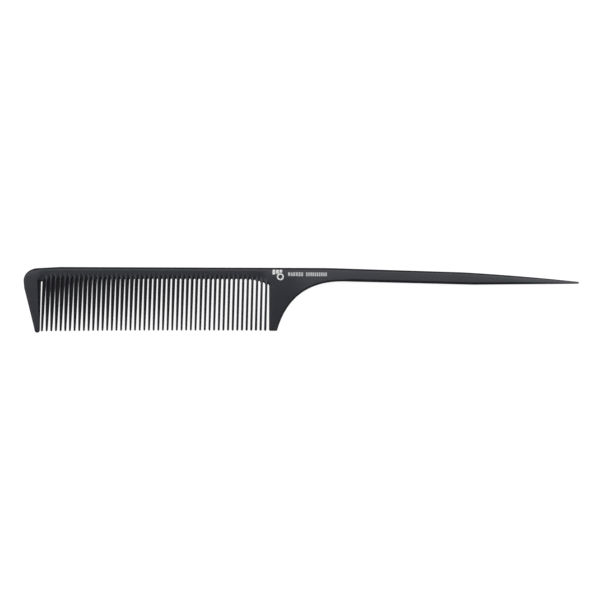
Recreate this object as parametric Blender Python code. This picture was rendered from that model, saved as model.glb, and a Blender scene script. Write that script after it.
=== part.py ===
"""Rat tail comb lying on its side: one moulding with a spine, 49 teeth, a heel and a tapered tail, and a
printed mark of plain dashes and a ring.

X runs from the guard end to the point of the tail, Y from the tooth tips to the back edge, Z is up. The comb
is the same above and below the plane z = MIDDLE. Its thickest band, the land, rests on z = 0. Sizes are in
millimetres and are scaled to metres where the vertices are made.
"""

import bpy
import bmesh
from math import cos, hypot, pi, radians, sin, sqrt, tan
from mathutils import Vector, geometry

MM = 0.001

# Overall size
LENGTH = 230.0
HEIGHT = 27.3
THICKNESS = 4.5
END_X = LENGTH / 2
BACK_Y = HEIGHT / 2
MIDDLE = THICKNESS / 2

# The land is the flat band beside the back edge; below it the head thins like a wedge to the tooth tips
LAND_LOW_Y = 10.2
LAND_HIGH_Y = 12.4
WEDGE_THICKNESS_AT_TIPS = 0.8

# Teeth: each leans a little, its lower end towards the guard, and their tips lie on a shallow arch
TOOTH_COUNT = 49
FIRST_TIP = (-107.48, -13.1)
LAST_TIP = (-15.01, -12.5)
TIP_ARCH = 0.2
FIRST_LEAN = radians(1.8)
LAST_LEAN = radians(1.2)
ROOT_WIDTHS = (0.84, 0.90)
TIP_WIDTHS = (0.78, 0.94)
# Places across half a tooth, from its side to near its middle, where its rounded section has points
TOOTH_SHARES = (0.0, 0.3, 0.65)
# Height over the tip's end, share of the width and share of the half thickness
TIP_ROUNDING = ((0.9, 1.0, 1.0), (0.25, 0.8, 0.85), (0.0, 0.4, 0.5))

# Slots: their closed ends lie on a straight line that curves down to the heel
SLOT_ROOT_Y = 9.0
# Where the line of slot ends starts to bend down toward the guard and toward the heel, and its radii there
SLOT_ROOT_BENDS = ((-102.0, 9.5), (-23.6, 22.0))
SLOT_END_DEPTH = 0.5
SLOT_END_STEPS = 4
GROOVE_RUN = LAND_LOW_Y - SLOT_ROOT_Y
LAND_START_X = -111.8
LAND_LINE_HEEL = (-17.0, -12.0, -6.0, 0.0, 6.0, 12.0)

# Guard, heel and throat
GUARD_INNER_X = -108.4
GUARD_TIP_RADIUS = 1.05
GUARD_TIP_CENTRE = (-109.45, GUARD_TIP_RADIUS - BACK_Y)
GUARD_SLANT = radians(13.5)
NOSE = ((-109.2, 13.15), (-113.5, 12.85), (-END_X, 9.9), (-END_X, 7.75))
NOSE_START = (-100.0, BACK_Y)
SLANT_START = (-114.74, 4.82)
HEEL_X = -13.45
HEEL_LOW_Y = -12.5
HEEL_CORNER_RADIUS = 0.6
HEEL_FAR_X = -9.93
THROAT = ((HEEL_FAR_X, -11.9), (-6.55, 0.0), (1.7, 8.4), (17.9, 8.06))

# Tail: a flat bar that narrows to a point, and thins from the neck on
NECK = ((16.0, 13.5), (12.5, 13.6), (11.0, BACK_Y), (6.0, BACK_Y))
TAIL_TOP = ((114.2, 8.36), (98.8, 9.98), (81.3, 11.3), (66.4, 12.08))
TAIL_UNDER_BEND = (71.5, 6.92)
TAIL_TIP = ((114.2, 7.48), (115.27, 7.54), (115.27, 8.3), (114.2, 8.36))
TAIL_THICKNESS = ((12.0, THICKNESS), (66.0, 3.2), (100.0, 2.0), (END_X, 1.0))

# Edges: rows at these shares of the reach, on a rounded bevel whose two powers set how full it is
EDGE_SHARES = (0.06, 0.25, 0.6, 1.0)
EDGE_POWERS = (2.6, 2.0)
BACK_REACH = BACK_Y - LAND_HIGH_Y
GUARD_REACH = 1.1
WALL_REACH = 0.7
UNDER_REACH = 0.9
NARROW_SHARE = 0.4
NARROW_FROM = (60.0, 5.3)
NARROW_END_WIDTH = 0.7
CLEAR_SHARE = 0.93

# Print: thin foil that stands just clear of the face
PRINT_GAP = 0.03
PRINT_THICKNESS = 0.07
RING_CENTRE = (-8.75, 9.85)
RING_RADII = (0.85, 1.45)
RING_SIDES = 20
EMBLEM_DASHES = {"x": -11.95, "top": 12.7, "pitch": 1.42, "width": 1.12, "heights": (1.9, 1.55, 1.2)}
FIRST_CAPTION = {"x": -5.6, "top": 11.68, "pitch": 1.08, "width": 0.8, "heights": (1.55,) * 6}
SECOND_CAPTION = {"x": 1.8, "top": 11.68, "pitch": 0.88, "width": 0.62, "heights": (1.55,) * 10}

PLASTIC = {"name": "carbon_plastic", "color": (0.036, 0.038, 0.043, 1.0), "roughness": 0.45}
FOIL = {"name": "print_white", "color": (0.70, 0.71, 0.70, 1.0), "roughness": 0.5}


def clear_scene():
    for item in list(bpy.data.objects):
        bpy.data.objects.remove(item, do_unlink=True)


def make_material(spec):
    material = bpy.data.materials.new(spec["name"])
    material.use_nodes = True
    shader = material.node_tree.nodes["Principled BSDF"]
    shader.inputs["Base Color"].default_value = spec["color"]
    shader.inputs["Roughness"].default_value = spec["roughness"]
    shader.inputs["Metallic"].default_value = 0.0
    return material


def add_object(name, mesh, material):
    mesh.materials.append(material)
    item = bpy.data.objects.new(name, mesh)
    bpy.context.scene.collection.objects.link(item)
    return item


def mix(a, b, share):
    return a + (b - a) * share


def bezier(control, steps):
    """Points of one cubic curve, both ends included."""
    points = []
    for step in range(steps + 1):
        t = step / steps
        weights = ((1 - t) ** 3, 3 * t * (1 - t) ** 2, 3 * t * t * (1 - t), t ** 3)
        points.append(tuple(sum(w * p[k] for w, p in zip(weights, control)) for k in range(2)))
    return points


def arc(centre, radius, start, end, steps):
    """Points of a circular arc from the angle start to the angle end, both included."""
    angles = [mix(start, end, step / steps) for step in range(steps + 1)]
    return [(centre[0] + radius * cos(a), centre[1] + radius * sin(a)) for a in angles]


# Half thickness of the comb

def head_rise(y):
    drop = (LAND_LOW_Y - y) / (LAND_LOW_Y + BACK_Y)
    return MIDDLE if drop <= 0 else mix(MIDDLE, WEDGE_THICKNESS_AT_TIPS / 2, drop)


def tail_rise(x):
    for (x0, thick0), (x1, thick1) in zip(TAIL_THICKNESS, TAIL_THICKNESS[1:]):
        if x0 < x <= x1:
            return mix(thick0, thick1, (x - x0) / (x1 - x0)) / 2
    return MIDDLE if x <= TAIL_THICKNESS[0][0] else TAIL_THICKNESS[-1][1] / 2


def rise(x, y):
    return min(head_rise(y), tail_rise(x))


def edge_height(share):
    """Share of the full half thickness at a share of the edge's reach."""
    return (1 - (1 - share) ** EDGE_POWERS[0]) ** (1 / EDGE_POWERS[1])


# Teeth

def tooth_share(number):
    return number / (TOOTH_COUNT - 1)


def tooth_tip(number):
    share = tooth_share(number)
    arch = TIP_ARCH * 4 * share * (1 - share)
    return mix(FIRST_TIP[0], LAST_TIP[0], share), mix(FIRST_TIP[1], LAST_TIP[1], share) + arch


def tooth_centre_x(number, y):
    tip_x, tip_y = tooth_tip(number)
    return tip_x + (y - tip_y) * tan(mix(FIRST_LEAN, LAST_LEAN, tooth_share(number)))


def tooth_width(number, y):
    tip_y = tooth_tip(number)[1]
    tip_width = mix(*TIP_WIDTHS, tooth_share(number))
    root_width = mix(*ROOT_WIDTHS, tooth_share(number))
    return mix(tip_width, root_width, (y - tip_y) / (SLOT_ROOT_Y - tip_y))


def slot_root_y(x):
    (left_x, left_radius), (right_x, right_radius) = SLOT_ROOT_BENDS
    past, radius = (left_x - x, left_radius) if x < left_x else (max(0.0, x - right_x), right_radius)
    return SLOT_ROOT_Y - radius + sqrt(radius ** 2 - past ** 2)


def tooth_root_y(number):
    """Where the tooth leaves the body, level with the start of the slots' rounded ends."""
    return slot_root_y(tooth_centre_x(number, SLOT_ROOT_Y)) - SLOT_END_DEPTH


# The sheet: points seen from above, each with its height over the middle plane, and the lines between them

class Sheet:
    def __init__(self):
        self.points = []
        self.loop = []
        self.lines = []

    def point(self, x, y, height=0.0):
        self.points.append((x, y, height))
        return len(self.points) - 1

    def border(self, x, y, height=0.0):
        index = self.point(x, y, height)
        self.loop.append(index)
        return index

    def line(self, indices):
        self.lines += [(a, b) for a, b in zip(indices, indices[1:]) if a is not None and b is not None]

    def triangles(self):
        """Triangles between the points, which keep every line as an edge."""
        flat = [Vector((x, y)) for x, y, _ in self.points]
        found = geometry.delaunay_2d_cdt(flat, self.lines, [self.loop], 1, 1e-7)
        source = [origins[0] for origins in found[3]]
        return [[source[index] for index in face] for face in found[2]]


def straight(start, end, steps):
    """Points of a straight run, without its start."""
    shares = [step / steps for step in range(1, steps + 1)]
    return [(mix(start[0], end[0], share), mix(start[1], end[1], share)) for share in shares]


def outer_edges():
    """The outline from the last slot round the tail and the guard to the first slot, as (x, y, reach).

    It runs against the clock. The reach is how far in from the edge its rounding and bevel go.
    """
    corner = HEEL_CORNER_RADIUS
    low_y = HEEL_LOW_Y + corner
    heel_top = (HEEL_X, slot_root_y(HEEL_X) - SLOT_END_DEPTH)
    heel = [heel_top] + straight(heel_top, (HEEL_X, low_y), 4)[:-1]
    heel += arc((HEEL_X + corner, low_y), corner, pi, 1.5 * pi, 3)
    heel += arc((HEEL_FAR_X - corner, low_y), corner, 1.5 * pi, 2 * pi, 3)
    under = bezier(THROAT, 14)[1:] + straight(THROAT[-1], TAIL_UNDER_BEND, 4)
    under += straight(TAIL_UNDER_BEND, TAIL_TIP[0], 5)[:-1]
    tip = bezier(TAIL_TIP, 5)
    top = bezier(TAIL_TOP, 6)[1:] + straight(TAIL_TOP[-1], NECK[0], 4)[:-1]
    top += bezier(NECK, 4) + straight(NECK[-1], NOSE_START, 8)
    nose = bezier(NOSE, 7) + [SLANT_START]
    slant_end = (GUARD_TIP_CENTRE[0] - GUARD_TIP_RADIUS * cos(GUARD_SLANT),
                 GUARD_TIP_CENTRE[1] - GUARD_TIP_RADIUS * sin(GUARD_SLANT))
    guard = straight(SLANT_START, slant_end, 4)[:-1]
    guard += arc(GUARD_TIP_CENTRE, GUARD_TIP_RADIUS, pi + GUARD_SLANT, 2 * pi, 6)
    inner = straight((GUARD_INNER_X, GUARD_TIP_CENTRE[1]), (GUARD_INNER_X, tooth_root_y(0)), 5)
    runs = ((heel, WALL_REACH), (under, UNDER_REACH), (tip, UNDER_REACH), (top, BACK_REACH),
            (nose, BACK_REACH), (guard, GUARD_REACH), (inner, WALL_REACH))
    return [(x, y, min(reach, NARROW_SHARE * bar_width(x))) for run, reach in runs for x, y in run]


def bar_width(x):
    """Width of the tail, which limits the reach of its edges."""
    start_x, start_width = NARROW_FROM
    return mix(start_width, NARROW_END_WIDTH, max(0.0, (x - start_x) / (END_X - start_x)))


def distance_to_run(x, y, run):
    """Distance from a point to the nearest stretch of a run of points."""
    nearest = LENGTH
    for (x0, y0, _), (x1, y1, _) in zip(run, run[1:]):
        length = hypot(x1 - x0, y1 - y0)
        share = ((x - x0) * (x1 - x0) + (y - y0) * (y1 - y0)) / length ** 2
        share = min(1.0, max(0.0, share))
        nearest = min(nearest, hypot(x - mix(x0, x1, share), y - mix(y0, y1, share)))
    return nearest


def add_edge_rows(sheet, run):
    """Rows of points inside the outline, which round and bevel its edge; gives the innermost row."""
    rows = [[] for _ in EDGE_SHARES]
    for (x0, y0, _), (x, y, reach), (x1, y1, _) in zip(run[:1] + run, run, run[1:] + run[-1:]):
        length = hypot(x1 - x0, y1 - y0)
        inward = ((y0 - y1) / length, (x1 - x0) / length)
        for row, share in zip(rows, EDGE_SHARES):
            depth = share * reach
            inner_x = x + inward[0] * depth
            inner_y = y + inward[1] * depth
            height = rise(inner_x, inner_y) * edge_height(share)
            clear = distance_to_run(inner_x, inner_y, run) >= CLEAR_SHARE * depth
            row.append(sheet.point(inner_x, inner_y, height) if clear else None)
    for row in rows:
        sheet.line(row)
    return rows[-1]


def tooth_row(number, y, width_share=1.0, rise_share=1.0):
    """Points of a tooth's rounded section, from its left side over the middle to its right side."""
    centre = tooth_centre_x(number, y)
    half = tooth_width(number, y) * width_share / 2
    height = rise(centre, y) * rise_share
    across = [((1 - share) * half, edge_height(share) * height) for share in TOOTH_SHARES]
    left = [(centre - offset, y, lift) for offset, lift in across]
    return left + [(centre + offset, y, lift) for offset, lift in reversed(across)]


def add_slot_end(sheet, left, right):
    """The rounded closed end of a slot between two walls, and the top of the groove above it."""
    for step in range(1, SLOT_END_STEPS):
        share = (1 - cos(pi * step / SLOT_END_STEPS)) / 2
        lift = SLOT_END_DEPTH * sin(pi * step / SLOT_END_STEPS)
        sheet.border(mix(left[0], right[0], share), mix(left[1], right[1], share) + lift)
    x = (left[0] + right[0]) / 2
    y = (left[1] + right[1]) / 2 + SLOT_END_DEPTH + GROOVE_RUN
    return sheet.point(x, y, rise(x, y))


def add_tooth_root(sheet, number):
    """The row where a tooth leaves the body, and the lines on the body that carry on from its face."""
    y = tooth_root_y(number)
    row = [sheet.border(*point) for point in tooth_row(number, y)]
    top_y = y + SLOT_END_DEPTH + GROOVE_RUN
    middle = len(TOOTH_SHARES)
    face = [point[0] for point in tooth_row(number, top_y)[middle - 1:middle + 1]]
    tops = [sheet.point(x, top_y, rise(x, top_y)) for x in face]
    sheet.line([row[middle - 1], tops[0]])
    sheet.line([row[middle], tops[1]])
    return row, tops


def add_head_border(sheet):
    """All slot ends and tooth roots from the guard to the heel.

    Gives the root row of each tooth, the face's corner on the guard, and the top of the last slot's groove.
    """
    rows = []
    guard_corner = sheet.point(GUARD_INNER_X - WALL_REACH, LAND_LOW_Y, MIDDLE)
    land_line = [sheet.point(LAND_START_X, LAND_LOW_Y, MIDDLE), guard_corner]
    left = (GUARD_INNER_X, tooth_root_y(0))
    for number in range(TOOTH_COUNT + 1):
        if number < TOOTH_COUNT:
            y = tooth_root_y(number)
            right = (tooth_row(number, y)[0][0], y)
        else:
            right = (HEEL_X, slot_root_y(HEEL_X) - SLOT_END_DEPTH)
        marks = [add_slot_end(sheet, left, right)]
        if number < TOOTH_COUNT:
            row, tops = add_tooth_root(sheet, number)
            rows.append(row)
            marks += tops
            left = (tooth_row(number, y)[-1][0], y)
        land_line += [index for index in marks if sheet.points[index][1] > LAND_LOW_Y - 1e-6]
    land_line += [sheet.point(x, LAND_LOW_Y, MIDDLE) for x in LAND_LINE_HEEL]
    sheet.line(land_line)
    return rows, guard_corner, marks[0]


def make_twins(bm, points):
    """A vertex above and one below the middle plane for each point, or one shared vertex on the plane."""
    front = [bm.verts.new((x, y, MIDDLE + height)) for x, y, height in points]
    back = [vert if height == 0 else bm.verts.new((x, y, MIDDLE - height))
            for vert, (x, y, height) in zip(front, points)]
    return front, back


def add_tooth(bm, number, front, back):
    """The tooth below its root row, whose vertices are front and back."""
    tip_y = tooth_tip(number)[1]
    for height, width_share, rise_share in TIP_ROUNDING:
        points = tooth_row(number, tip_y + height, width_share, rise_share)
        next_front, next_back = make_twins(bm, points)
        for upper, lower in ((front, next_front), (back, next_back)):
            for k in range(len(points) - 1):
                bm.faces.new((upper[k], upper[k + 1], lower[k + 1], lower[k]))
        front, back = next_front, next_back
    bm.faces.new(front + back[-2:0:-1])


def finish_mesh(bm, name):
    bmesh.ops.scale(bm, vec=(MM, MM, MM), verts=bm.verts)
    bmesh.ops.recalc_face_normals(bm, faces=bm.faces)
    mesh = bpy.data.meshes.new(name)
    bm.to_mesh(mesh)
    bm.free()
    return mesh


def make_comb_body(material):
    """The whole moulding: both faces of the sheet, joined along the outline, and the teeth below it."""
    sheet = Sheet()
    outline = outer_edges()
    rows, guard_corner, last_groove = add_head_border(sheet)
    for x, y, _ in outline:
        sheet.border(x, y)
    inner_row = add_edge_rows(sheet, outline)
    heel_x = HEEL_X + WALL_REACH
    heel_y = sheet.points[last_groove][1]
    sheet.line([last_groove, sheet.point(heel_x, heel_y, rise(heel_x, heel_y)), inner_row[0]])
    sheet.line([inner_row[-1], guard_corner])

    bm = bmesh.new()
    front, back = make_twins(bm, sheet.points)
    for face in sheet.triangles():
        bm.faces.new([front[index] for index in face])
        bm.faces.new([back[index] for index in reversed(face)])
    for number, row in enumerate(rows):
        add_tooth(bm, number, [front[index] for index in row], [back[index] for index in row])
    mesh = finish_mesh(bm, "comb_body")
    mesh.shade_smooth()
    mesh.set_sharp_from_angle(angle=radians(25))
    return add_object("comb_body", mesh, material)


# Print

def face_rise(x, y):
    """Height of the head's face over the middle plane, with the bevel beside the back edge."""
    return rise(x, y) * edge_height(min(1.0, (BACK_Y - y) / BACK_REACH))


def make_print(name, faces, material):
    """A thin solid over flat faces, which bends with the comb's face at both edges of the land."""
    bm = bmesh.new()
    for face in faces:
        bm.faces.new([bm.verts.new((x, y, 0.0)) for x, y in face])
    bmesh.ops.remove_doubles(bm, verts=bm.verts, dist=1e-5)
    for y in (LAND_LOW_Y, LAND_HIGH_Y):
        parts = bm.verts[:] + bm.edges[:] + bm.faces[:]
        bmesh.ops.bisect_plane(bm, geom=parts, plane_co=(0, y, 0), plane_no=(0, 1, 0))
    lower = set(bm.verts)
    bmesh.ops.solidify(bm, geom=bm.faces[:], thickness=PRINT_THICKNESS)
    for vert in bm.verts:
        stands = PRINT_GAP if vert in lower else PRINT_GAP + PRINT_THICKNESS
        vert.co.z = MIDDLE + face_rise(vert.co.x, vert.co.y) + stands
    return add_object(name, finish_mesh(bm, name), material)


def make_dashes(prefix, row, first_number, material):
    """Upright dashes in a row, which all reach up to the same line."""
    for number, height in enumerate(row["heights"]):
        left = row["x"] + number * row["pitch"]
        right = left + row["width"]
        low, high = row["top"] - height, row["top"]
        outline = ((left, low), (right, low), (right, high), (left, high))
        make_print(f"{prefix}_{first_number + number:02d}", [outline], material)


def make_ring(material):
    inner, outer = (arc(RING_CENTRE, radius, 0, 2 * pi, RING_SIDES) for radius in RING_RADII)
    faces = [(inner[k], outer[k], outer[k + 1], inner[k + 1]) for k in range(RING_SIDES)]
    make_print("emblem_ring", faces, material)


def main():
    clear_scene()
    foil = make_material(FOIL)
    make_comb_body(make_material(PLASTIC))
    make_ring(foil)
    make_dashes("emblem_dash", EMBLEM_DASHES, 1, foil)
    make_dashes("caption_dash", FIRST_CAPTION, 1, foil)
    make_dashes("caption_dash", SECOND_CAPTION, len(FIRST_CAPTION["heights"]) + 1, foil)


main()
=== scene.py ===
"""Looks of the rat tail comb: the finely shaped moulding, its satin plastic, the print, floor and light.

The comb lies flat: X runs along it to the tip of the tail, Y from the tooth tips to the back edge, and Z is
up. Sizes are in millimetres and are scaled to metres where the vertices are made.
"""

from math import cos, hypot, pi, radians, sin, sqrt, tan

import bmesh
import bpy
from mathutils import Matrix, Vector, geometry


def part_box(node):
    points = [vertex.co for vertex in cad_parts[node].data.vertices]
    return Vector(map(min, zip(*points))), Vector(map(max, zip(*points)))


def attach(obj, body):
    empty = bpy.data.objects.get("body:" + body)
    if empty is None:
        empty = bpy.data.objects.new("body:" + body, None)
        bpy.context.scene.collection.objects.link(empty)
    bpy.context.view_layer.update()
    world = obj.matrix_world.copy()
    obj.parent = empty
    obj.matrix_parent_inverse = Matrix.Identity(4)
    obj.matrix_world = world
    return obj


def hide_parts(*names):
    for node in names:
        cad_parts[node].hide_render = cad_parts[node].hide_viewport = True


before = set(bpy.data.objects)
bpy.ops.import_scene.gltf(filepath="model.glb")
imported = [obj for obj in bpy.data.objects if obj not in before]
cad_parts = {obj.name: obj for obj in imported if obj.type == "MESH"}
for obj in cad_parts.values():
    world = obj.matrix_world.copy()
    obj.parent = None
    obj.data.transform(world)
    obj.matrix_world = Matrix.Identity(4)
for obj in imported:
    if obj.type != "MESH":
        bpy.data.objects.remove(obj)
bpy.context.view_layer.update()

MM = 0.001

# The moulding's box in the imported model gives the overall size
BODY_LOW, BODY_HIGH = (Vector(corner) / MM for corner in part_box("comb_body"))
END_X = BODY_HIGH.x
BACK_Y = BODY_HIGH.y
LOW_Y = BODY_LOW.y
MIDDLE = (BODY_LOW.z + BODY_HIGH.z) / 2
HALF_THICKNESS = BODY_HIGH.z - MIDDLE

# The land is the flat band beside the back edge; below it the head thins like a wedge to the tooth tips
LAND_LOW_Y = 10.2
WEDGE_THICKNESS_AT_TIPS = 0.8

# Bank: between the guard and the heel the face rounds down to the slots, and then thins along the teeth
CROWN_TOP_Y = 12.4
CROWN_LOW_Y = 9.2
CROWN_DROP = 0.43
CROWN_POWER = 1.25
BANK_TIP_RISE = 0.35
BANK_TIP_Y = -13.1
BANK_POWER = 1.6
BANK_LEFT_FADE = (-109.0, -106.0)
BANK_RIGHT_FADE = (-13.0, -17.0)
WEDGE_FADE = (4.0, -6.0)

# Teeth
TOOTH_COUNT = 49
FIRST_TIP = (-107.48, -13.1)
LAST_TIP = (-15.01, -12.5)
TIP_ARCH = 0.2
FIRST_LEAN = radians(1.8)
LAST_LEAN = radians(1.2)
# Widths of the first and last tooth. The middle one of the tips' is what the curve between the two bends to
ROOT_WIDTHS = (0.79, 0.90)
TIP_WIDTHS = (0.77, 0.59, 1.02)
TOOTH_FACE_SHARE = 0.06
TOOTH_STEPS = 14
TIP_RUN = 1.3
TIP_LIFT = 0.5
TIP_LIFT_POWER = 0.5
TIP_STEPS = 10
TIP_STRETCH = 1.4
# Each crest stands a little above the ends of the slots beside it
CREST_LIFT = 1.19
# The first tooth is slimmer than the others and leans away from the guard
FIRST_TOOTH_SHARE = 0.82
FIRST_TOOTH_SHIFT = 0.21
FIRST_TOOTH_SHIFT_FROM_Y = -10.0
# Left of the middle the teeth widen at their roots: by how much, how far down, and over which teeth this
# grows and fades again
ROOT_FLARE = 0.27
ROOT_FLARE_RUN = 6.0
ROOT_FLARE_TEETH = ((2, 16), (22, 18))

# Slots
SLOT_ROOT_Y = 9.0
SLOT_ROOT_BENDS = ((-102.0, 9.5), (-23.6, 22.0))
SLOT_END_DEPTH = 0.5
SLOT_END_STEPS = 10
GROOVE_RUN = 1.9

# Guard, heel and throat
GUARD_INNER_X = -108.4
GUARD_TIP_RADIUS = 1.05
GUARD_TIP_CENTRE = (-109.45, GUARD_TIP_RADIUS + LOW_Y)
GUARD_SLANT = radians(13.5)
NOSE = ((-109.2, 13.15), (-113.5, 12.85), (-END_X, 9.9), (-END_X, 7.75))
NOSE_START = (-100.0, BACK_Y)
SLANT_START = (-114.74, 4.82)
HEEL_X = -13.45
HEEL_LOW_Y = -12.5
HEEL_CORNER_RADIUS = 0.6
HEEL_FAR_X = -9.93
THROAT = ((HEEL_FAR_X, -11.9), (-6.55, 0.0), (1.7, 8.4), (17.9, 8.06))

# Steps along the outline's curves
LONG_CURVE_STEPS = 40
NOSE_STEPS = 16
GUARD_TURN_STEPS = 12
SHORT_CURVE_STEPS = 10
HEEL_TURN_STEPS = 6

# Tail
NECK = ((16.0, 13.5), (12.5, 13.6), (11.0, BACK_Y), (6.0, BACK_Y))
TAIL_TOP = ((114.2, 8.36), (98.8, 9.98), (81.3, 11.3), (66.4, 12.08))
TAIL_UNDER_BEND = (71.5, 6.92)
TAIL_TIP = ((114.2, 7.48), (115.22, 7.54), (115.22, 8.3), (114.2, 8.36))
TAIL_THICKNESS = ((12.0, 2 * HALF_THICKNESS), (60.0, 2.9), (88.0, 2.46), (END_X, 0.4))

# Edges: how far in their rounding and bevel go, and the powers that set how full a soft and a sharp one are
BACK_REACH = BACK_Y - CROWN_TOP_Y
GUARD_REACH = 1.4
GUARD_SOFTNESS = 0.65
WALL_REACH = 0.7
GUARD_WALL_REACH = 0.5
THROAT_REACH = 0.8
UNDER_REACH = 1.2
CORNER_SHARE = 0.7
TAIL_TIP_REACH = 0.15
REACH_SLOPE = 0.2
NARROW_SHARE = 0.4
NARROW_FROM = (60.0, 5.3)
NARROW_END_WIDTH = 0.7
SOFT_POWERS = (2.6, 2.0)
SHARP_POWERS = (1.3, 1.05)
TOOTH_POWERS = (3.0, 2.4)
SLOT_END_POWERS = (1.6, 10.0)
ROW_SHARES = (0.02, 0.06, 0.13, 0.23, 0.36, 0.52, 0.7, 0.86, 1.0)
STATION_SPACING = 1.0
WALL_SOFTENING_RUN = 3.0
GUARD_SOFTENING = (-113.0, -104.0)
# Fill points: rows across the spine that keep clear of the grooves, places up each crest, the plates' grid
CROWN_ROWS = (12.0, 11.4, 10.8, 10.2, 9.6)
CROWN_MARGIN = 0.35
CREST_SHARES = (0.3, 0.6)
PLATE_XS = (-111.8, -110.3, -12.0, -10.0, -8.0, -6.0, -4.0, -2.0, 0.0, 2.0, 4.0, 8.0, 12.0)
PLATE_YS = (LAND_LOW_Y, LAND_LOW_Y - 1.0, LAND_LOW_Y - 2.0)

# Tolerances: for a place on the guard's inner wall, and for two points of the face being one
CLOSE = 0.001
MERGE_DISTANCE = 1e-7

# View: the comb seen square on from above, close enough for the slots at its left end to close up
VIEW_CENTRE = (-0.64, 0.333)
VIEW_DISTANCE = 258.5
VIEW_ROLL = radians(0.22)
FOCAL_PIXELS = 624
IMAGE_PIXELS = 600
SENSOR_WIDTH = 36.0
CLIP_START = 0.01

WHITE = (1.0, 1.0, 1.0, 1.0)
EVEN = (1.0, 1.0, 1.0)
NOISE_DETAIL = 2.0

# Plastic: colours, and the scales of its noises per metre. A range gives the values of a noise or an
# attribute between which its effect grows
PLASTIC_DARK = (0.0100, 0.0104, 0.0150, 1.0)
PLASTIC_PALE = (0.0135, 0.0138, 0.0195, 1.0)
PLASTIC_SPECK = (0.03, 0.031, 0.036, 1.0)
PLASTIC_WORN = (0.022, 0.022, 0.025, 1.0)
PLASTIC_ROUGHNESS = (0.30, 0.38)
PLASTIC_SPECULAR = 0.5
PLASTIC_TINT = (0.91, 0.945, 1.0, 1.0)
SPECK_SHARE = 0.5
SPECK_RANGE = (0.66, 0.74)
WEAR_SHARE = 0.5
WEAR_RANGE = (0.55, 1.0)
GRAIN_SCALE = 5000.0
GRAIN_DETAIL = 3.0
GRAIN_RANGE = (0.3, 0.7)
GRAIN_DEPTH = 0.00002
GRAIN_STRENGTH = 0.25
CLOUD_SCALE = 60.0
CLOUD_RANGE = (0.35, 0.65)
FLOW_SCALE = 60.0
FLOW_STRETCH = (1.0, 14.0, 14.0)
FLOW_DEPTH = 0.00003
FLOW_STRENGTH = 0.15
SHARP_ANGLE = radians(40)

# Print
EMBLEM_FRESH = (0.72, 0.73, 0.72, 1.0)
EMBLEM_WORN = (0.45, 0.46, 0.46, 1.0)
CAPTION_FRESH = (0.46, 0.47, 0.48, 1.0)
CAPTION_WORN = (0.24, 0.25, 0.26, 1.0)
PRINT_ROUGHNESS = (0.4, 0.6)
PATCH_SCALE = 1500.0
PATCH_DETAIL = 4.0
PATCH_RANGE = (0.45, 0.7)
PATCH_DEPTH = 0.00002
PATCH_STRENGTH = 0.2

# Floor and light, in metres
FLOOR_PALE = (0.13, 0.13, 0.13, 1.0)
FLOOR_WHITE = (0.15, 0.15, 0.15, 1.0)
FLOOR_SCALE = 8.0
FLOOR_ROUGHNESS = 0.9
FLOOR_SPECULAR = 0.1
FLOOR_GLOW = 0.93
FLOOR_HALF_SIZE = 1.5
FLOOR_Z = -0.00005
BACKDROP_RADIUS = 1.1
BACKDROP_CURVE = 1.2
BACKDROP_LIFT = 0.001
BACKDROP_SIDES = 96
BACKDROP_STEPS = 12
WORLD_STRENGTH = 0.1
# Name, place, size and radiance of each light panel
PANELS = (
    ("key_light", (-0.05, 0.4, 0.8), (1.5, 0.9), 1.53),
    ("middle_light", (-0.02, 0.3, 0.84), (0.2, 0.6), 0.8),
    ("front_light", (0.0, -0.25, 0.85), (1.2, 0.3), 0.28),
    ("right_light", (0.68, 0.2, 0.6), (0.5, 0.6), 3.9),
    ("left_light", (-0.8, 0.15, 0.5), (0.7, 0.6), 1.8),
)


def mix(a, b, share):
    return a + (b - a) * share


def smooth(x, start, end):
    """Eases from 0 at start to 1 at end, which may lie on either side."""
    share = min(1.0, max(0.0, (x - start) / (end - start)))
    return share * share * (3 - 2 * share)


def bezier(control, steps):
    """Points of one cubic curve, both ends included."""
    points = []
    for step in range(steps + 1):
        t = step / steps
        weights = ((1 - t) ** 3, 3 * t * (1 - t) ** 2, 3 * t * t * (1 - t), t ** 3)
        points.append(tuple(sum(w * p[k] for w, p in zip(weights, control)) for k in range(2)))
    return points


def arc(centre, radius, start, end, steps):
    """Points of a circular arc from the angle start to the angle end, both included."""
    angles = [mix(start, end, step / steps) for step in range(steps + 1)]
    return [(centre[0] + radius * cos(a), centre[1] + radius * sin(a)) for a in angles]


def straight(start, end):
    """Points of a straight run about STATION_SPACING apart, without its start."""
    steps = max(1, round(hypot(end[0] - start[0], end[1] - start[1]) / STATION_SPACING))
    shares = [step / steps for step in range(1, steps + 1)]
    return [(mix(start[0], end[0], share), mix(start[1], end[1], share)) for share in shares]


# Half thickness of the comb, in front of its middle plane and behind it

def plate_rise(x, y):
    """Of the guard and heel: flat down to the land's lower edge, then a wedge that fades at the neck."""
    drop = max(0.0, (LAND_LOW_Y - y) / (LAND_LOW_Y - LOW_Y)) * smooth(x, *WEDGE_FADE)
    return mix(HALF_THICKNESS, WEDGE_THICKNESS_AT_TIPS / 2, drop)


def bank_rise(y):
    """Of the spine and teeth: the slope grows down to the slots, and the teeth thin from there."""
    if y < CROWN_LOW_Y:
        share = min(1.0, (CROWN_LOW_Y - y) / (CROWN_LOW_Y - BANK_TIP_Y))
        return mix(HALF_THICKNESS - CROWN_DROP, BANK_TIP_RISE, share ** BANK_POWER)
    share = max(0.0, (CROWN_TOP_Y - y) / (CROWN_TOP_Y - CROWN_LOW_Y))
    return HALF_THICKNESS - CROWN_DROP * share ** CROWN_POWER


def head_rise(x, y):
    share = smooth(x, *BANK_LEFT_FADE) * smooth(x, *BANK_RIGHT_FADE)
    return mix(plate_rise(x, y), bank_rise(y), share)


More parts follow.
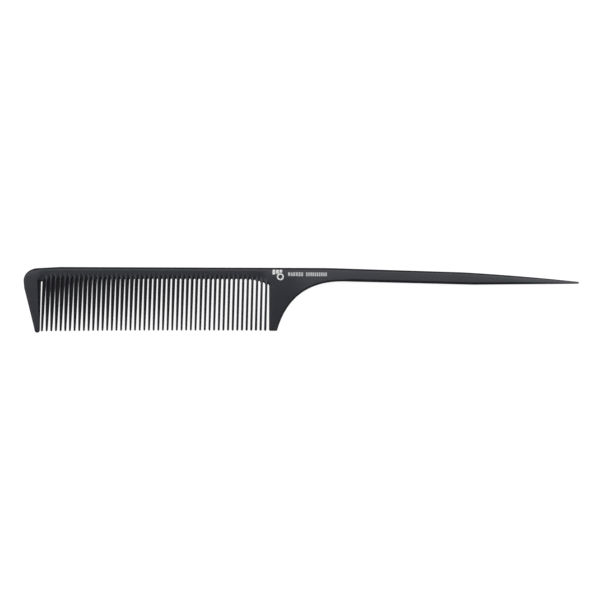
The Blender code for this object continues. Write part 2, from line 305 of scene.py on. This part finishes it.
def tail_rise(x):
    for (x0, thick0), (x1, thick1) in zip(TAIL_THICKNESS, TAIL_THICKNESS[1:]):
        if x0 < x <= x1:
            return mix(thick0, thick1, (x - x0) / (x1 - x0)) / 2
    return HALF_THICKNESS if x <= TAIL_THICKNESS[0][0] else TAIL_THICKNESS[-1][1] / 2


def rise(x, y, lift):
    """Half thickness at a place on the face, times its lift, but never past the land."""
    return min(HALF_THICKNESS, lift * min(head_rise(x, y), tail_rise(x)))


def edge_height(share, powers):
    """Share of the full half thickness at a share of an edge's reach."""
    return (1 - (1 - share) ** powers[0]) ** (1 / powers[1])


def mix_powers(a, b, share):
    return mix(a[0], b[0], share), mix(a[1], b[1], share)


# Teeth and slots

def tooth_share(number):
    return number / (TOOTH_COUNT - 1)


def tooth_tip(number):
    share = tooth_share(number)
    arch = TIP_ARCH * 4 * share * (1 - share)
    return mix(FIRST_TIP[0], LAST_TIP[0], share), mix(FIRST_TIP[1], LAST_TIP[1], share) + arch


def tooth_centre_x(number, y):
    tip_x, tip_y = tooth_tip(number)
    x = tip_x + (y - tip_y) * tan(mix(FIRST_LEAN, LAST_LEAN, tooth_share(number)))
    if number == 0:
        start_y = FIRST_TOOTH_SHIFT_FROM_Y
        x += FIRST_TOOTH_SHIFT * (y - start_y) / (SLOT_ROOT_Y - start_y)
    return x


def tooth_half_width(number, y):
    tip_y = tooth_tip(number)[1]
    share = tooth_share(number)
    first, middle, last = TIP_WIDTHS
    tip_width = mix(mix(first, middle, share), mix(middle, last, share), share)
    root_width = mix(*ROOT_WIDTHS, share)
    if number == 0:
        root_width *= FIRST_TOOTH_SHARE
    flare = ROOT_FLARE * max(0.0, 1 - (SLOT_ROOT_Y - y) / ROOT_FLARE_RUN) ** 2
    for start, end in ROOT_FLARE_TEETH:
        flare *= smooth(number, start, end)
    return (mix(tip_width, root_width, (y - tip_y) / (SLOT_ROOT_Y - tip_y)) + flare) / 2


def slot_root_y(x):
    (left_x, left_radius), (right_x, right_radius) = SLOT_ROOT_BENDS
    past, radius = (left_x - x, left_radius) if x < left_x else (max(0.0, x - right_x), right_radius)
    return SLOT_ROOT_Y - radius + sqrt(radius ** 2 - past ** 2)


def tooth_root_y(number):
    return slot_root_y(tooth_centre_x(number, SLOT_ROOT_Y)) - SLOT_END_DEPTH


# Stations: each is an outline point, the point on the face that its edge runs in to, the share of the full
# half thickness that the face has there, and the powers that shape the edge between them

def station(outer, inner, lift=1.0, powers=SOFT_POWERS):
    return {"outer": outer, "inner": inner, "lift": lift, "powers": powers}


def tooth_stations(number):
    """Down the left side of a tooth, round its tip and up its right side."""
    tip_x, tip_y = tooth_tip(number)
    root_y = tooth_root_y(number)
    radius = tooth_half_width(number, tip_y)
    turn_y = tip_y + radius * TIP_STRETCH
    side_ys = [mix(root_y, turn_y, step / TOOTH_STEPS) for step in range(TOOTH_STEPS)]

    def lift_at(y):
        crest = CREST_LIFT if number else mix(1.0, FIRST_TOOTH_SHARE, (y - tip_y) / (root_y - tip_y))
        return crest * mix(TIP_LIFT, 1.0, min(1.0, (y - tip_y) / TIP_RUN) ** TIP_LIFT_POWER)

    def side(y, sign):
        centre = tooth_centre_x(number, y)
        half = tooth_half_width(number, y)
        outer = (centre + sign * half, y)
        inner = (centre + sign * half * TOOTH_FACE_SHARE, y)
        return station(outer, inner, lift_at(y), TOOTH_POWERS)

    around = []
    for step in range(TIP_STEPS + 1):
        angle = pi + pi * step / TIP_STEPS
        reach = (radius * cos(angle), radius * TIP_STRETCH * sin(angle))
        centre = tooth_centre_x(number, turn_y)
        outer = (centre + reach[0], turn_y + reach[1])
        inner = (centre + reach[0] * TOOTH_FACE_SHARE, turn_y + reach[1] * TOOTH_FACE_SHARE)
        around.append(station(outer, inner, lift_at(inner[1]), TOOTH_POWERS))
    return [side(y, -1) for y in side_ys] + around + [side(y, 1) for y in reversed(side_ys)]


def slot_end_stations(left, right):
    """Over a slot's rounded end, from the last station of its left wall to the first of its right one."""
    stations = []
    for step in range(1, SLOT_END_STEPS):
        angle = pi * (1 - step / SLOT_END_STEPS)
        share = (1 + cos(angle)) / 2
        x = mix(left["outer"][0], right["outer"][0], share)
        y = mix(left["outer"][1], right["outer"][1], share) + SLOT_END_DEPTH * sin(angle)
        reach = mix(left["outer"][0] - left["inner"][0], right["inner"][0] - right["outer"][0], share)
        side = left if share < 0.5 else right
        lift = mix(side["lift"], 1.0, sin(angle))
        powers = mix_powers(side["powers"], SLOT_END_POWERS, sin(angle))
        inner = (x + reach * cos(angle), y + GROOVE_RUN * sin(angle))
        stations.append(station((x, y), inner, lift, powers))
    return stations


def bar_width(x):
    """Width of the tail, which limits the reach of its edges."""
    start_x, start_width = NARROW_FROM
    return mix(start_width, NARROW_END_WIDTH, max(0.0, (x - start_x) / (END_X - start_x)))


def limit_reaches(run):
    """Eases the reach along a run of (x, y, reach, softness), so that it narrows before a tight corner."""
    for order in (run, run[::-1]):
        for before, after in zip(order, order[1:]):
            gap = hypot(after[0] - before[0], after[1] - before[1])
            after[2] = min(after[2], before[2] + REACH_SLOPE * gap)


def outer_runs():
    """From the last slot round the tail and the guard to the first slot, as [x, y, reach, softness]."""
    corner = HEEL_CORNER_RADIUS
    low_y = HEEL_LOW_Y + corner
    heel_top = (HEEL_X, slot_root_y(HEEL_X) - SLOT_END_DEPTH)
    heel = [heel_top] + straight(heel_top, (HEEL_X, low_y))[:-1]
    heel_turn = arc((HEEL_X + corner, low_y), corner, pi, 1.5 * pi, HEEL_TURN_STEPS)
    far_turn = arc((HEEL_FAR_X - corner, low_y), corner, 1.5 * pi, 2 * pi, HEEL_TURN_STEPS)
    sole = straight(heel_turn[-1], far_turn[0])[:-1]
    throat = bezier(THROAT, LONG_CURVE_STEPS)[1:]
    under = straight(THROAT[-1], TAIL_UNDER_BEND) + straight(TAIL_UNDER_BEND, TAIL_TIP[0])[:-1]
    tip = bezier(TAIL_TIP, SHORT_CURVE_STEPS)
    top = bezier(TAIL_TOP, LONG_CURVE_STEPS)[1:] + straight(TAIL_TOP[-1], NECK[0])[:-1]
    top += bezier(NECK, SHORT_CURVE_STEPS) + straight(NECK[-1], NOSE_START)
    nose = straight(NOSE_START, NOSE[0])[:-1] + bezier(NOSE, NOSE_STEPS) + straight(NOSE[-1], SLANT_START)
    slant_end = (GUARD_TIP_CENTRE[0] - GUARD_TIP_RADIUS * cos(GUARD_SLANT),
                 GUARD_TIP_CENTRE[1] - GUARD_TIP_RADIUS * sin(GUARD_SLANT))
    guard = straight(SLANT_START, slant_end)[:-1]
    guard_turn = arc(GUARD_TIP_CENTRE, GUARD_TIP_RADIUS, pi + GUARD_SLANT, 2 * pi, GUARD_TURN_STEPS)
    inner = straight((GUARD_INNER_X, GUARD_TIP_CENTRE[1]), (GUARD_INNER_X, tooth_root_y(0)))
    heel_reach = corner * CORNER_SHARE
    tip_reach = GUARD_TIP_RADIUS * CORNER_SHARE
    runs = ((heel, WALL_REACH), (heel_turn, heel_reach), (sole, WALL_REACH), (far_turn, heel_reach),
            (throat, THROAT_REACH), (under, UNDER_REACH), (tip, TAIL_TIP_REACH), (top, BACK_REACH),
            (nose, GUARD_REACH), (guard, GUARD_REACH), (guard_turn, tip_reach), (inner, GUARD_WALL_REACH))
    points = [[x, y, min(reach, NARROW_SHARE * bar_width(x)), 1.0] for run, reach in runs for x, y in run]
    limit_reaches(points)
    for point in points:
        if point[0] < GUARD_INNER_X - CLOSE:
            low = smooth(point[1], GUARD_TIP_CENTRE[1], GUARD_TIP_CENTRE[1] + WALL_SOFTENING_RUN)
            point[3] = mix(1.0, GUARD_SOFTNESS, low * smooth(point[0], *reversed(GUARD_SOFTENING)))
    return points


def outer_stations():
    points = outer_runs()
    befores = points[:1] + points
    afters = points[1:] + points[-1:]
    stations = []
    for before, (x, y, reach, softness), after in zip(befores, points, afters):
        length = hypot(after[0] - before[0], after[1] - before[1])
        inward = ((before[1] - after[1]) / length, (after[0] - before[0]) / length)
        inner = (x + inward[0] * reach, y + inward[1] * reach)
        stations.append(station((x, y), inner, powers=mix_powers(SHARP_POWERS, SOFT_POWERS, softness)))
    return stations


def all_stations():
    """The whole outline against the clock, from the first slot's end."""
    outer = outer_stations()
    stations = []
    left = outer[-1]
    for number in range(TOOTH_COUNT + 1):
        tooth = tooth_stations(number) if number < TOOTH_COUNT else outer
        right = tooth[0]
        end = slot_end_stations(left, right)
        stations += end + tooth
        left = tooth[-1]
    return stations


def fill_points():
    """Points inside the face, as (x, y, lift)."""
    half_pitch = (LAST_TIP[0] - FIRST_TIP[0]) / (TOOTH_COUNT - 1) / 2
    points = [(x, y, 1.0) for x in PLATE_XS for y in PLATE_YS]
    for number in range(1, TOOTH_COUNT):
        for share in CREST_SHARES:
            y = tooth_root_y(number) + share * (SLOT_END_DEPTH + GROOVE_RUN)
            points.append((tooth_centre_x(number, y), y, mix(CREST_LIFT, 1.0, share)))
        for y in CROWN_ROWS:
            centre_x = tooth_centre_x(number, y)
            for x in (centre_x - half_pitch, centre_x):
                if y > slot_root_y(x) + GROOVE_RUN + CROWN_MARGIN:
                    points.append((x, y, 1.0))
    return points


def face_triangles(stations, added):
    """Triangles of the face inside all edges, between the stations' inner points and the added ones."""
    points = [Vector(item["inner"]) for item in stations]
    loop = list(range(len(points)))
    points += [Vector(point[:2]) for point in added]
    found = geometry.delaunay_2d_cdt(points, [], [loop], 1, MERGE_DISTANCE)
    source = [origins[0] for origins in found[3]]
    return [[source[index] for index in face] for face in found[2]]


def make_comb():
    """The moulding: rows of faces over each edge, front and back, and triangles that fill each face."""
    stations = all_stations()
    added = fill_points()
    triangles = face_triangles(stations, added)
    bm = bmesh.new()
    edge_layer = bm.verts.layers.float.new("edge")

    def vertex(x, y, height, edge):
        vert = bm.verts.new((x * MM, y * MM, (MIDDLE + height) * MM))
        vert[edge_layer] = edge
        return vert

    fronts = []
    backs = []
    for item in stations:
        (x0, y0), (x1, y1) = item["outer"], item["inner"]
        front = [vertex(x0, y0, 0.0, 1.0)]
        back = front[:]
        for share in ROW_SHARES:
            x, y = mix(x0, x1, share), mix(y0, y1, share)
            height = rise(x, y, item["lift"]) * edge_height(share, item["powers"])
            front.append(vertex(x, y, height, 1 - share))
            back.append(vertex(x, y, -height, 1 - share))
        fronts.append(front)
        backs.append(back)
    for k in range(len(ROW_SHARES)):
        for columns in (fronts, backs):
            for a, b in zip(columns, columns[1:] + columns[:1]):
                bm.faces.new((a[k], b[k], b[k + 1], a[k + 1]))
    for columns, sign in ((fronts, 1), (backs, -1)):
        inner = [column[-1] for column in columns]
        inner += [vertex(x, y, sign * rise(x, y, lift), 0.0) for x, y, lift in added]
        for face in triangles:
            bm.faces.new([inner[index] for index in face])
    bmesh.ops.recalc_face_normals(bm, faces=bm.faces)
    mesh = bpy.data.meshes.new("comb")
    bm.to_mesh(mesh)
    bm.free()
    mesh.shade_smooth()
    mesh.set_sharp_from_angle(angle=SHARP_ANGLE)
    comb = bpy.data.objects.new("comb", mesh)
    bpy.context.scene.collection.objects.link(comb)
    return comb


# Materials

# Places of a colour Mix node's sockets
MIX_SHARE = 0
MIX_FIRST = 6
MIX_SECOND = 7
MIX_RESULT = 2


class Nodes:
    """A material's nodes, with short calls to add and join them."""

    def __init__(self, name):
        self.material = bpy.data.materials.new(name)
        self.material.use_nodes = True
        self.tree = self.material.node_tree
        self.shader = self.tree.nodes["Principled BSDF"]

    def add(self, kind, inputs=(), **settings):
        node = self.tree.nodes.new(kind)
        for key, value in settings.items():
            setattr(node, key, value)
        for key, value in dict(inputs).items():
            if isinstance(value, bpy.types.NodeSocket):
                self.tree.links.new(value, node.inputs[key])
            else:
                node.inputs[key].default_value = value
        return node

    def set(self, key, value):
        if isinstance(value, bpy.types.NodeSocket):
            self.tree.links.new(value, self.shader.inputs[key])
        else:
            self.shader.inputs[key].default_value = value

    def place(self, stretch):
        coordinates = self.add("ShaderNodeTexCoord").outputs["Object"]
        return self.add("ShaderNodeMapping", {"Vector": coordinates, "Scale": stretch}).outputs["Vector"]

    def noise(self, scale, detail=NOISE_DETAIL, stretch=EVEN):
        inputs = {"Vector": self.place(stretch), "Scale": scale, "Detail": detail}
        return self.add("ShaderNodeTexNoise", inputs).outputs["Fac"]

    def ramp(self, value, low, high, to_low=0.0, to_high=1.0):
        inputs = {"Value": value, "From Min": low, "From Max": high, "To Min": to_low, "To Max": to_high}
        return self.add("ShaderNodeMapRange", inputs).outputs["Result"]

    def blend(self, share, first, second):
        inputs = {MIX_SHARE: share, MIX_FIRST: first, MIX_SECOND: second}
        return self.add("ShaderNodeMix", inputs, data_type="RGBA").outputs[MIX_RESULT]

    def bump(self, height, strength, distance, normal=None):
        inputs = {"Height": height, "Strength": strength, "Distance": distance}
        if normal is not None:
            inputs["Normal"] = normal
        return self.add("ShaderNodeBump", inputs).outputs["Normal"]


def plastic_material():
    """Satin carbon-filled plastic: fine grain, faint flow lines, edges worn a little paler."""
    nodes = Nodes("carbon_plastic")
    grain = nodes.noise(GRAIN_SCALE, GRAIN_DETAIL)
    cloud = nodes.noise(CLOUD_SCALE)
    flow = nodes.noise(FLOW_SCALE, stretch=FLOW_STRETCH)
    edge = nodes.add("ShaderNodeAttribute", attribute_name="edge").outputs["Fac"]
    tone = nodes.blend(nodes.ramp(cloud, *CLOUD_RANGE), PLASTIC_DARK, PLASTIC_PALE)
    speck = nodes.ramp(grain, *SPECK_RANGE, 0.0, SPECK_SHARE)
    tone = nodes.blend(speck, tone, PLASTIC_SPECK)
    wear = nodes.ramp(edge, *WEAR_RANGE, 0.0, WEAR_SHARE)
    nodes.set("Base Color", nodes.blend(wear, tone, PLASTIC_WORN))
    nodes.set("Roughness", nodes.ramp(grain, *GRAIN_RANGE, *PLASTIC_ROUGHNESS))
    flow_normal = nodes.bump(flow, FLOW_STRENGTH, FLOW_DEPTH)
    nodes.set("Normal", nodes.bump(grain, GRAIN_STRENGTH, GRAIN_DEPTH, flow_normal))
    nodes.set("Specular IOR Level", PLASTIC_SPECULAR)
    nodes.set("Specular Tint", PLASTIC_TINT)
    return nodes.material


def print_material(name, fresh, worn):
    """Stamped off-white foil, with small worn patches."""
    nodes = Nodes(name)
    patches = nodes.noise(PATCH_SCALE, PATCH_DETAIL)
    grain = nodes.noise(GRAIN_SCALE)
    nodes.set("Base Color", nodes.blend(nodes.ramp(patches, *PATCH_RANGE), fresh, worn))
    nodes.set("Roughness", nodes.ramp(grain, *GRAIN_RANGE, *PRINT_ROUGHNESS))
    nodes.set("Normal", nodes.bump(patches, PATCH_STRENGTH, PATCH_DEPTH))
    return nodes.material


def floor_material():
    nodes = Nodes("floor_white")
    cloud = nodes.noise(FLOOR_SCALE)
    nodes.set("Base Color", nodes.blend(cloud, FLOOR_PALE, FLOOR_WHITE))
    nodes.set("Roughness", FLOOR_ROUGHNESS)
    nodes.set("Specular IOR Level", FLOOR_SPECULAR)
    nodes.set("Emission Color", WHITE)
    nodes.set("Emission Strength", FLOOR_GLOW)
    return nodes.material


def set_material(item, material):
    if not item.data.materials:
        item.data.materials.append(material)
    for slot in item.material_slots:
        slot.link = "OBJECT"
        slot.material = material


# Surroundings

def make_floor(material):
    mesh = bpy.data.meshes.new("floor")
    half = FLOOR_HALF_SIZE
    corners = ((-half, -half), (half, -half), (half, half), (-half, half))
    mesh.from_pydata([(x, y, FLOOR_Z) for x, y in corners], [], [(0, 1, 2, 3)])
    floor = bpy.data.objects.new("floor", mesh)
    bpy.context.scene.collection.objects.link(floor)
    set_material(floor, material)
    floor.visible_glossy = False


def make_backdrop(material):
    """A round wall that rises from the floor in a curve, seen behind the comb from low views."""
    bm = bmesh.new()
    rings = []
    for step in range(BACKDROP_STEPS + 1):
        angle = pi / 2 * step / BACKDROP_STEPS
        radius = BACKDROP_RADIUS + BACKDROP_CURVE * sin(angle)
        z = FLOOR_Z + BACKDROP_LIFT + BACKDROP_CURVE * (1 - cos(angle))
        turns = [2 * pi * k / BACKDROP_SIDES for k in range(BACKDROP_SIDES)]
        rings.append([bm.verts.new((radius * cos(turn), radius * sin(turn), z)) for turn in turns])
    for lower, upper in zip(rings, rings[1:]):
        for k in range(BACKDROP_SIDES):
            after = (k + 1) % BACKDROP_SIDES
            bm.faces.new((lower[k], upper[k], upper[after], lower[after]))
    mesh = bpy.data.meshes.new("backdrop")
    bm.to_mesh(mesh)
    bm.free()
    mesh.shade_smooth()
    backdrop = bpy.data.objects.new("backdrop", mesh)
    bpy.context.scene.collection.objects.link(backdrop)
    set_material(backdrop, material)
    backdrop.visible_glossy = False
    backdrop.visible_diffuse = False
    backdrop.visible_shadow = False


def make_panel(name, location, size, radiance):
    """A soft light panel that faces the comb."""
    light = bpy.data.lights.new(name, "AREA")
    light.shape = "RECTANGLE"
    light.size, light.size_y = size
    light.energy = radiance * pi * size[0] * size[1]
    panel = bpy.data.objects.new(name, light)
    panel.location = location
    panel.rotation_euler = (-Vector(location)).to_track_quat("-Z", "Y").to_euler()
    bpy.context.scene.collection.objects.link(panel)


def make_world():
    world = bpy.data.worlds.new("studio")
    world.use_nodes = True
    background = world.node_tree.nodes["Background"]
    background.inputs["Color"].default_value = WHITE
    background.inputs["Strength"].default_value = WORLD_STRENGTH
    bpy.context.scene.world = world


def make_camera():
    data = bpy.data.cameras.new("camera")
    data.sensor_width = SENSOR_WIDTH
    data.lens = SENSOR_WIDTH * FOCAL_PIXELS / IMAGE_PIXELS
    data.clip_start = CLIP_START
    camera = bpy.data.objects.new("camera", data)
    camera.location = Vector((*VIEW_CENTRE, MIDDLE + VIEW_DISTANCE)) * MM
    camera.rotation_euler = (0.0, 0.0, VIEW_ROLL)
    bpy.context.scene.collection.objects.link(camera)
    bpy.context.scene.camera = camera
    bpy.context.scene.view_settings.view_transform = "Standard"


def main():
    comb = make_comb()
    set_material(comb, plastic_material())
    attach(comb, "root")
    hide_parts("comb_body")
    emblem = print_material("emblem_print", EMBLEM_FRESH, EMBLEM_WORN)
    caption = print_material("caption_print", CAPTION_FRESH, CAPTION_WORN)
    for name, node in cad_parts.items():
        if name.startswith("emblem"):
            set_material(node, emblem)
        if name.startswith("caption"):
            set_material(node, caption)
    stage_material = floor_material()
    make_floor(stage_material)
    make_backdrop(stage_material)
    make_world()
    for panel in PANELS:
        make_panel(*panel)
    make_camera()


main()
